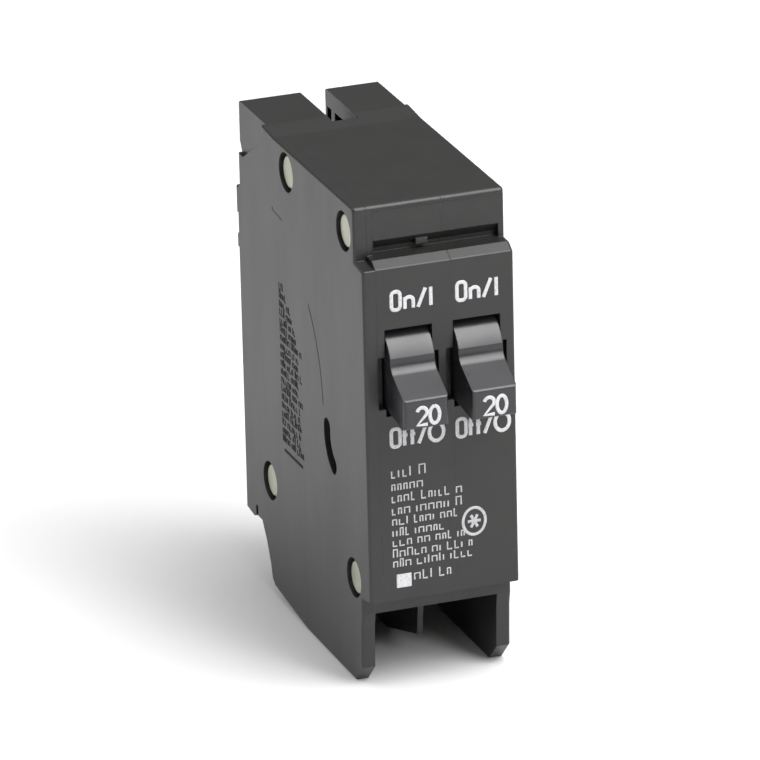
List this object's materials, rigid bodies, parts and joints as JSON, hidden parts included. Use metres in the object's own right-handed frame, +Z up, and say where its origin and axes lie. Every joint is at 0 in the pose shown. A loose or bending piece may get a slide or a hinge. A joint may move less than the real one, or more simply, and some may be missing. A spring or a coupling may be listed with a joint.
{
  "type": "duplex circuit breaker",
  "caption": "Narrow black plug-on circuit breaker with two independent toggle handles, riveted moulded case, stab jaw slot, rail foot and load screw terminals.",
  "frame": {"origin": "centre of the bounding box on the surface it stands on, the lower edges of its side walls", "axes": "+X to the right seen from the handles, +Y from the handles to the rear mounting face, +Z up to the stab (line) end"},
  "size_m": [0.0254, 0.068, 0.0821],
  "materials": {
    "case_black": "moulded thermoset, fine satin",
    "handle_black": "smooth moulded satin",
    "rivet_steel": "yellowish plated steel, rolled heads",
    "copper": "plain copper strip, lightly tarnished",
    "tinned_copper": "tin-plated copper",
    "silver": "silver alloy contact face",
    "pin_steel": "ground steel pin",
    "plated_steel": "zinc plated, yellow passivate",
    "spring_steel": "drawn spring wire",
    "bimetal": "rolled bimetal strip",
    "screw_steel": "zinc plated screw",
    "fibre": "grey vulcanised fibre",
    "braid": "woven copper braid"
  },
  "bodies": {
    "case": {"left_cover": "case_black", "center_base": "case_black", "right_case": "case_black", "case_rivets": "rivet_steel", "stab_jaw": "tinned_copper", "jaw_clip": "spring_steel", "left_handle_pin": "pin_steel", "left_fixed_contact": "silver", "left_line_strap": "copper", "left_arc_liner": "fibre", "left_cradle_pin": "pin_steel", "left_bimetal": "bimetal", "left_magnet_yoke": "plated_steel", "left_armature_pin": "pin_steel", "left_braid": "braid", "left_calibration_screw": "screw_steel", "left_load_strap": "tinned_copper", "right_handle_pin": "pin_steel", "right_fixed_contact": "silver", "right_line_strap": "copper", "right_arc_liner": "fibre", "right_cradle_pin": "pin_steel", "right_bimetal": "bimetal", "right_magnet_yoke": "plated_steel", "right_armature_pin": "pin_steel", "right_braid": "braid", "right_calibration_screw": "screw_steel", "right_load_strap": "tinned_copper"},
    "left_handle": {"left_handle": "handle_black", "left_arm_pin": "pin_steel"},
    "left_contact_arm": {"left_contact_arm": "copper", "left_moving_contact": "silver"},
    "left_cradle": {"left_cradle": "plated_steel", "left_toggle_spring": "spring_steel"},
    "left_armature": {"left_armature": "plated_steel"},
    "left_terminal_clamp": {"left_terminal_clamp": "plated_steel"},
    "left_terminal_screw": {"left_terminal_screw": "screw_steel"},
    "right_handle": {"right_handle": "handle_black", "right_arm_pin": "pin_steel"},
    "right_contact_arm": {"right_contact_arm": "copper", "right_moving_contact": "silver"},
    "right_cradle": {"right_cradle": "plated_steel", "right_toggle_spring": "spring_steel"},
    "right_armature": {"right_armature": "plated_steel"},
    "right_terminal_clamp": {"right_terminal_clamp": "plated_steel"},
    "right_terminal_screw": {"right_terminal_screw": "screw_steel"}
  },
  "joints": [
    {"name": "left_handle_toggle", "type": "hinge", "parent": "case", "child": "left_handle", "pos_m": [-0.00525, -0.0214, 0.05504], "axis": [-1, 0, 0], "range_deg": [0, 39.4], "deforming": ["left_toggle_spring", "left_braid"]},
    {"name": "left_arm_swing", "type": "hinge", "parent": "left_handle", "child": "left_contact_arm", "pos_m": [-0.00525, -0.01198, 0.06164], "axis": [-1, 0, 0], "range_deg": [-19.5, 0]},
    {"name": "left_cradle_trip", "type": "hinge", "parent": "case", "child": "left_cradle", "pos_m": [-0.00525, 0.0156, 0.0369], "axis": [-1, 0, 0], "range_deg": [0, 10]},
    {"name": "left_armature_release", "type": "hinge", "parent": "case", "child": "left_armature", "pos_m": [-0.00525, -0.0077, 0.0474], "axis": [-1, 0, 0], "range_deg": [0, 9], "stiffness_Nm_per_rad": 0.002},
    {"name": "left_clamp_slide", "type": "slide", "parent": "case", "child": "left_terminal_clamp", "axis": [0, 0.7071, 0.7071], "range_m": [0, 0.0024]},
    {"name": "left_screw_turn", "type": "hinge", "parent": "left_terminal_clamp", "child": "left_terminal_screw", "pos_m": [-0.00525, -0.0133, 0.0144], "axis": [0, 0.7071, 0.7071], "range_deg": [0, 1080.1]},
    {"name": "right_handle_toggle", "type": "hinge", "parent": "case", "child": "right_handle", "pos_m": [0.00625, -0.0214, 0.05504], "axis": [-1, 0, 0], "range_deg": [0, 39.4], "deforming": ["right_toggle_spring", "right_braid"]},
    {"name": "right_arm_swing", "type": "hinge", "parent": "right_handle", "child": "right_contact_arm", "pos_m": [0.00625, -0.01198, 0.06164], "axis": [-1, 0, 0], "range_deg": [-19.5, 0]},
    {"name": "right_cradle_trip", "type": "hinge", "parent": "case", "child": "right_cradle", "pos_m": [0.00625, 0.0156, 0.0369], "axis": [-1, 0, 0], "range_deg": [0, 10]},
    {"name": "right_armature_release", "type": "hinge", "parent": "case", "child": "right_armature", "pos_m": [0.00625, -0.0077, 0.0474], "axis": [-1, 0, 0], "range_deg": [0, 9], "stiffness_Nm_per_rad": 0.002},
    {"name": "right_clamp_slide", "type": "slide", "parent": "case", "child": "right_terminal_clamp", "axis": [0, 0.7071, 0.7071], "range_m": [0, 0.0024]},
    {"name": "right_screw_turn", "type": "hinge", "parent": "right_terminal_clamp", "child": "right_terminal_screw", "pos_m": [0.00625, -0.0133, 0.0144], "axis": [0, 0.7071, 0.7071], "range_deg": [0, 1080.1]}
  ],
  "couplings": [
    {"joint": "left_arm_swing", "follows": "left_handle_toggle", "ratio": -0.49239},
    {"joint": "left_screw_turn", "follows": "left_clamp_slide", "rad_per_m": 7854},
    {"joint": "right_arm_swing", "follows": "right_handle_toggle", "ratio": -0.49239},
    {"joint": "right_screw_turn", "follows": "right_clamp_slide", "rad_per_m": 7854}
  ]
}
